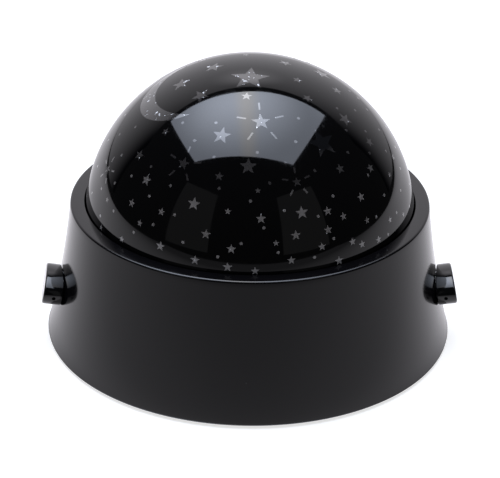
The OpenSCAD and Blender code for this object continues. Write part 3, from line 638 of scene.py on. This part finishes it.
def ray_outline(radius, index):
    """Corners of a dash that runs on outwards from one of a star's points."""
    turn = Matrix.Rotation(2 * math.pi * index / star_points, 2)
    near = ray_gap_share * radius + ray_gap
    far = near + ray_length_share * radius + ray_length
    half = ray_width / 2
    corners = [(-half, near), (half, near), (half, far), (-half, far)]
    return [tuple(turn @ Vector(corner)) for corner in corners]


def scattered_dots(taken):
    """Places spread evenly over the dome, at least dot_clearance clear of what stands there."""
    golden_turn = 180 * (3 - math.sqrt(5))
    low = math.sin(math.radians(dots_from))
    high = math.sin(math.radians(dots_to))
    spots = []
    for i in range(dot_count):
        turn = i * golden_turn
        rise = math.degrees(math.asin(low + (high - low) * (i + 0.5) / dot_count))
        here = on_dome(turn, rise) @ Vector((0, 0, dome_r))
        gaps = [(on_dome(t, r) @ Vector((0, 0, dome_r)) - here).length - size for t, r, size in taken]
        if min(gaps) > dot_clearance:
            spots.append((turn, rise))
    return spots


def half_turns(row):
    """Each place of a row, and the same place on the dome's other half."""
    return [(turn + half, *rest) for turn, *rest in row for half in (0, 180)]


def thickened(shape):
    """Gives the patches their thickness towards the dome's middle, which is the origin here."""
    top = list(shape.faces)
    made = bmesh.ops.extrude_face_region(shape, geom=top)["geom"]
    lower = [item for item in made if isinstance(item, bmesh.types.BMVert)]
    outer = dome_r + window_lift
    bmesh.ops.scale(shape, vec=[(outer - window_sink) / outer] * 3, verts=lower)
    bmesh.ops.recalc_face_normals(shape, faces=shape.faces)
    bmesh.ops.translate(shape, vec=(0, 0, dome_z * mm), verts=shape.verts)


def with_dome_normals(piece):
    """Shades the outer faces as the dome's own sphere, so that reflections run on over them."""
    mesh = piece.data
    middle = Vector((0, 0, dome_z * mm))
    normals = [Vector((0, 0, 0))] * len(mesh.loops)
    for face in mesh.polygons:
        outwards = (face.center - middle).normalized()
        on_top = face.normal.dot(outwards) > outwards_share
        for i in face.loop_indices:
            corner = mesh.vertices[mesh.loops[i].vertex_index].co
            normals[i] = (corner - middle).normalized() if on_top else face.normal.copy()
    mesh.normals_split_custom_set(normals)


def window_grey():
    """Grey translucent plastic that mirrors at both its faces.

    Its colour holds painted reflection: pale near the rim, grey lower on the flank and dim higher
    up. White flecks near the top and to the left are painted glints, and a patch of painted shade
    darkens the largest window of the flank.
    """
    finish = Finish(
        "window_grey", IOR=1.585, Coat_Weight=1.0, Coat_IOR=1.585, Coat_Roughness=0.03
    )
    across = finish.along("X")
    height = finish.along("Z")
    # Painted shade: a soft dark patch round this place darkens the largest window of the flank.
    painted_shade_spot = on_dome(*painted_shade_window_place) @ Vector((0, 0, dome_r * mm))
    away = finish.node(
        "ShaderNodeVectorMath", {"operation": "DISTANCE"},
        {0: finish.place, 1: painted_shade_spot + Vector((0, 0, dome_z * mm))}, "Value",
    )
    # Painted reflection: the windows' tone goes with height, pale near the rim, grey lower on the
    # flank and dim higher up.
    middle = finish.step(height, 75 * mm, 68 * mm)
    low = finish.step(height, 60 * mm, 50 * mm)
    high = finish.step(height, 88 * mm, 94 * mm)
    cloud = finish.noise(2.5, 3)
    patch = finish.step(finish.noise(24, 1), 0.42, 0.6)
    # Painted glints: near-white flecks on the windows, more of them near the top and to the left.
    left = finish.step(across, -12 * mm, -20 * mm) * finish.step(height, 80 * mm, 84 * mm)
    painted_glints = finish.step(finish.noise(1.2, 2) + high * 0.05 + left * 0.045, 0.7, 0.73)
    # The painted reflection's tones, dim, grey and pale, each varied at random.
    dim_painted_reflection = finish.blend(patch, colour(42, 40, 40), colour(62, 60, 59))
    grey = finish.blend(cloud, colour(102, 98, 96), colour(124, 120, 117))
    pale_painted_reflection = finish.blend(cloud, colour(156, 153, 151), colour(176, 173, 171))
    # The dim tone, with painted shade near the darkened window.
    inside = finish.blend(finish.step(away, 4 * mm, 9 * mm), colour(12, 13, 16), dim_painted_reflection)
    plain = finish.blend(low, finish.blend(middle, inside, grey), pale_painted_reflection)
    finish.feed("Base Color", finish.blend(painted_glints, plain, colour(236, 238, 242)))
    finish.feed("Roughness", finish.step(cloud, 0.3, 0.7, 0.03, 0.07))
    return finish.material


star_grey = window_grey()
star_shape = bmesh.new()
all_stars = crown_stars + half_turns(flank_stars)
for turn, rise, radius in all_stars:
    cuts = 3 if radius > large_star else 1
    add_patch(star_shape, star_outline(radius), on_dome(turn, rise), cuts)
all_rays = half_turns(ray_stars)
for turn, rise, radius in all_rays:
    for index in range(star_points):
        add_patch(star_shape, ray_outline(radius, index), on_dome(turn, rise), cuts=1)
add_crescent(
    star_shape,
    arc((0, 0), moon_r, *moon_turns, moon_steps),
    arc(bite_middle, bite_r, *bite_turns, moon_steps),
    on_dome(*moon_place),
    cuts=4,
)
kept_clear = all_stars + [(*moon_place, moon_r)]
for turn, rise, radius in all_rays:
    kept_clear.append((turn, rise, ray_room_share * radius + ray_room))
for turn, rise in scattered_dots(kept_clear):
    add_patch(star_shape, dot_outline(dot_r), on_dome(turn, rise))
thickened(star_shape)
stars = finished("star_windows_grey", star_shape, star_grey)
with_dome_normals(stars)
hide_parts("star_windows")
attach(stars, "dome")

# ------------------------------------------------------------------ knobs
# Two short oval knobs, moulded in high-gloss black ABS and pressed on the switch spindles. Their
# outer edge is rounded, and a small index dimple sits in the front end.

knob_reach = 10.4
knob_half_h = 5.8
knob_h = 5.6
knob_gap = 0.2
knob_round = 0.8
knob_heel = 0.1
face_inset = 2.2
face_turned_back = 6.0
knob_steps = 96
cavity_reach = 6.6
cavity_half_h = 5.3
cavity_h = 2.7
bore_r = 1.66
bore_depth = 3.9
dimple_d = 1.3
dimple_depth = 1.1
dimple_down = 2.0
dimple_out = 10.4
dimple_rise = 3.0
drill_past = 1.0

knob_black = polished_black("polished_black_abs", (8, 8, 9), 0.05)


def add_oval(shape, half_h, reach, height):
    """Adds an oval loop round the knob's axis. Height is a function of the place to the back."""
    loop = bmesh.ops.create_circle(shape, cap_ends=False, segments=knob_steps, radius=mm)["verts"]
    bmesh.ops.scale(shape, vec=(half_h, reach, 1), verts=loop)
    for vert in loop:
        vert.co.z = height(vert.co.y / mm) * mm
    return list({edge for vert in loop for edge in vert.link_edges})


def face_height(back):
    """The outer face stands proudest at the front, so that it looks nearly straight to the side."""
    return knob_h - back * math.tan(math.radians(face_turned_back))


def add_knob_ovals(shape):
    """From the bore's end, through the recess and round the heel, to the middle of the face."""
    ovals = [
        add_oval(shape, bore_r, bore_r, lambda back: bore_depth),
        add_oval(shape, bore_r, bore_r, lambda back: cavity_h),
        add_oval(shape, cavity_half_h, cavity_reach, lambda back: cavity_h),
        add_oval(shape, cavity_half_h, cavity_reach, lambda back: knob_gap),
    ]
    for inset, rise in arc((-knob_heel, knob_heel), knob_heel, -90, 0, steps=3):
        half_h = knob_half_h + inset
        ovals.append(add_oval(shape, half_h, knob_reach + inset, lambda back: knob_gap + rise))
    edge = arc((-knob_round, -knob_round), knob_round, 0, 90, steps=8)
    for inset, rise in edge + [(-face_inset, 0)]:
        half_h = knob_half_h + inset
        ovals.append(
            add_oval(shape, half_h, knob_reach + inset, lambda back: face_height(back) + rise)
        )
    return ovals


def make_knob(name, side):
    """One knob at its place, with its recess, its bore and its dimple."""
    shape = bmesh.new()
    ovals = add_knob_ovals(shape)
    for inner, outer in zip(ovals, ovals[1:]):
        bmesh.ops.bridge_loops(shape, edges=inner + outer)
    bmesh.ops.edgeloop_fill(shape, edges=ovals[0])
    bmesh.ops.edgeloop_fill(shape, edges=ovals[-1])
    bmesh.ops.recalc_face_normals(shape, faces=shape.faces)
    bmesh.ops.transform(shape, matrix=knob_place(side), verts=shape.verts)
    knob = finished(name, shape, knob_black)
    forward = Matrix.Rotation(math.radians(-90 + side * dimple_down), 4, "Z")
    sideways = Matrix.Rotation(math.radians(90), 4, "Y")
    rise = Matrix.Translation((0, 0, dimple_rise * mm))
    drill = bmesh.new()
    hole_place = knob_place(side) @ rise @ forward @ sideways
    add_rod(drill, dimple_d, dimple_out - dimple_depth, dimple_out + drill_past, hole_place)
    drilled(knob, drill)
    return knob


for name, side in (("left", -1), ("right", 1)):
    knob = make_knob(name + "_gloss_knob", side)
    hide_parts(name + "_knob")
    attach(knob, name + "_dial")

# ------------------------------------------------------------------ floor and backdrop
# A white table with a paper backdrop behind it. Only the camera sees the table evenly white; to
# other rays it glows with painted light, brightest behind the object, and a painted shadow under
# it. The room is dark, and its sizes are in metres.

table_front = -0.6
table_back = 1.5
table_side = 0.9
paper_tint = (0.99, 0.97, 1.03)
backdrop_w = 7.2
backdrop_h = 2.1


def staged_plane(name, width, depth, place, material):
    """A flat sheet that isn't part of the object: width along its own X, depth along its own Y."""
    shape = bmesh.new()
    bmesh.ops.create_grid(shape, x_segments=1, y_segments=1, size=0.5)
    bmesh.ops.scale(shape, vec=(width, depth, 1), verts=shape.verts)
    bmesh.ops.transform(shape, matrix=place, verts=shape.verts)
    sheet = finished(name, shape, material)
    return sheet


def pool(finish, middle, reach):
    """1 at the middle of a soft pool of light, falling smoothly to 0 about reach metres from it."""
    offset = finish.node(
        "ShaderNodeVectorMath", {"operation": "SUBTRACT"}, {0: finish.place, 1: middle}
    )
    shares = finish.node(
        "ShaderNodeVectorMath", {"operation": "DIVIDE"}, {0: offset, 1: reach}
    )
    away = finish.node("ShaderNodeVectorMath", {"operation": "LENGTH"}, {0: shares}, "Value")
    return finish.node(
        "ShaderNodeMapRange", {"interpolation_type": "SMOOTHSTEP"},
        {0: away, 1: 0, 2: 1, 3: 1, 4: 0},
    )


def shining(finish, level, most, tint):
    """A tint as bright as the level field, which varies from 0 to most."""
    brightest = [most * channel for channel in tint]
    return finish.blend(level * (1 / most), (0, 0, 0, 1), (*brightest, 1))


def table_white():
    """White laminate. The object mirrors a painted pool of light on it and a painted shadow under
    itself.

    It is clear from below, so that the underside can be looked at.
    """
    finish = Finish("table_white", Roughness=0.7, Emission_Strength=1.0)
    seen = finish.node("ShaderNodeLightPath", output="Is Camera Ray")
    # Painted light for other rays than the camera's: brightest behind the object, with a pool near
    # it.
    back = finish.step(finish.along("Y"), -0.35, 0.25)
    near = pool(finish, (0, 0.05, 0), (0.2, 0.17, 1))
    wide = pool(finish, (0, 0.2, 0), (1.7, 3, 1))
    # Painted shadow under the object, in what other rays see.
    under = pool(finish, (0, 0, 0), (0.085, 0.085, 1))
    lit = shining(finish, back * wide * 0.83 + near * 0.85 + 0.12, 2, paper_tint)
    mirrored = finish.blend(finish.step(under, 0, 0.25), lit, (0.08, 0.08, 0.08, 1))
    finish.feed("Emission Color", finish.blend(seen, mirrored, (0.72, 0.72, 0.72, 1)))
    finish.feed("Base Color", finish.blend(seen, (0, 0, 0, 1), (0.5, 0.5, 0.5, 1)))
    finish.feed("Alpha", 1 - finish.node("ShaderNodeNewGeometry", output="Backfacing"))
    return finish.material


table_place = Matrix.Translation((0, (table_front + table_back) / 2, 0))
staged_plane("table", 2 * table_side, table_back - table_front, table_place, table_white())


class Glow(Finish):
    """A finish that only shines."""

    def __init__(self, name):
        super().__init__(name)
        self.tree.nodes.remove(self.shader)
        self.shader = self.tree.nodes.new("ShaderNodeEmission")
        output = self.tree.nodes["Material Output"]
        self.tree.links.new(self.shader.outputs[0], output.inputs["Surface"])


def backdrop_paper():
    """Paper lit from above: brightest at the top middle, falling off to the sides."""
    glow = Glow("backdrop_paper")
    wide = pool(glow, (0, table_back, 0.6), (3.6, 1, 3.6))
    top = pool(glow, (0, table_back, 1.5), (0.6, 1, 0.6))
    glow.feed("Color", shining(glow, wide * 0.74 + top * 0.6, 1.4, paper_tint))
    return glow.material


upright = Matrix.Rotation(math.pi / 2, 4, "X")
backdrop_place = Matrix.Translation((0, table_back, backdrop_h / 2)) @ upright
backdrop = staged_plane("backdrop", backdrop_w, backdrop_h, backdrop_place, backdrop_paper())
backdrop.visible_camera = False

# ------------------------------------------------------------------ lights
# One large softbox hangs over the table, with its hot spot left of and behind the object. Two dim
# cards stand in front, and the dark room gives the little that is left.

softbox_z = 0.9
softbox_corners = [
    (-0.82, 0.51), (-0.648, -0.308), (0.456, -0.42), (0.737, 0.505), (-0.09, 0.485),
]


def softbox_cloth():
    """Cloth that is brightest left of the middle, and warmer along its lamp tube."""
    glow = Glow("softbox_cloth")
    hot = pool(glow, (-0.12, 0.26, softbox_z), (0.7, 0.75, 1))
    tube = pool(glow, (-0.03, 0, softbox_z), (0.13, 9, 1))
    level = hot * 3.3 + 2.1
    cool = shining(glow, level, 5.4, (0.9, 0.98, 1.16))
    warm = shining(glow, level, 5.4, (1.16, 1.12, 1.08))
    glow.feed("Color", glow.blend(tube * 0.6, cool, warm))
    return glow.material


softbox_shape = bmesh.new()
softbox_shape.faces.new([softbox_shape.verts.new((x, y, softbox_z)) for x, y in softbox_corners])
softbox = finished("softbox", softbox_shape, softbox_cloth())
softbox.visible_camera = False

card_distance = 1.5
card_z = 0.65
card_h = 1.2
card_light = 0.09


def card_board():
    """Plain board, as bright as the little light that falls on it."""
    glow = Glow("card_board")
    glow.feed("Strength", card_light)
    return glow.material


card_grey = card_board()
for card_name, turn, width in (("left_card", -44, 0.8), ("right_card", 36, 0.85)):
    around = Matrix.Rotation(math.radians(turn), 4, "Z")
    card_place = around @ Matrix.Translation((0, -card_distance, card_z)) @ upright
    card = staged_plane(card_name, width, card_h, card_place, card_grey)
    card.visible_camera = False

room_light = 0.02
world = bpy.data.worlds.new("studio")
bpy.context.scene.world = world
world.use_nodes = True
room = world.node_tree.nodes["Background"]
rays = world.node_tree.nodes.new("ShaderNodeLightPath")
seen = world.node_tree.nodes.new("ShaderNodeMapRange")
seen.inputs["To Min"].default_value = room_light
seen.inputs["To Max"].default_value = 1.0
world.node_tree.links.new(rays.outputs["Is Camera Ray"], seen.inputs["Value"])
world.node_tree.links.new(seen.outputs[0], room.inputs["Strength"])
room.inputs["Color"].default_value = (1, 1, 1, 1)

# ------------------------------------------------------------------ camera
# A long lens looks down on the dome from the front, nearly square on, and rolled a little. Its
# distance and aim are in metres, and its sideways shift is a share of the picture's width.

sensor_w = 36.0
focal_length = 140.67
sideways_shift = 0.00116
look_down = 27.1
camera_turn = -2.0
camera_roll = 0.94
camera_distance = 0.6741
aim_height = 0.03263

lens = bpy.data.cameras.new("camera")
lens.sensor_width = sensor_w
lens.lens = focal_length
lens.shift_x = sideways_shift
camera = bpy.data.objects.new("camera", lens)
bpy.context.scene.collection.objects.link(camera)
camera.matrix_world = (
    Matrix.Rotation(math.radians(camera_turn), 4, "Z")
    @ Matrix.Translation((0, 0, aim_height))
    @ Matrix.Rotation(math.radians(90 - look_down), 4, "X")
    @ Matrix.Rotation(math.radians(camera_roll), 4, "Z")
    @ Matrix.Translation((0, 0, camera_distance))
)
bpy.context.scene.camera = camera
bpy.context.scene.view_settings.view_transform = "Standard"
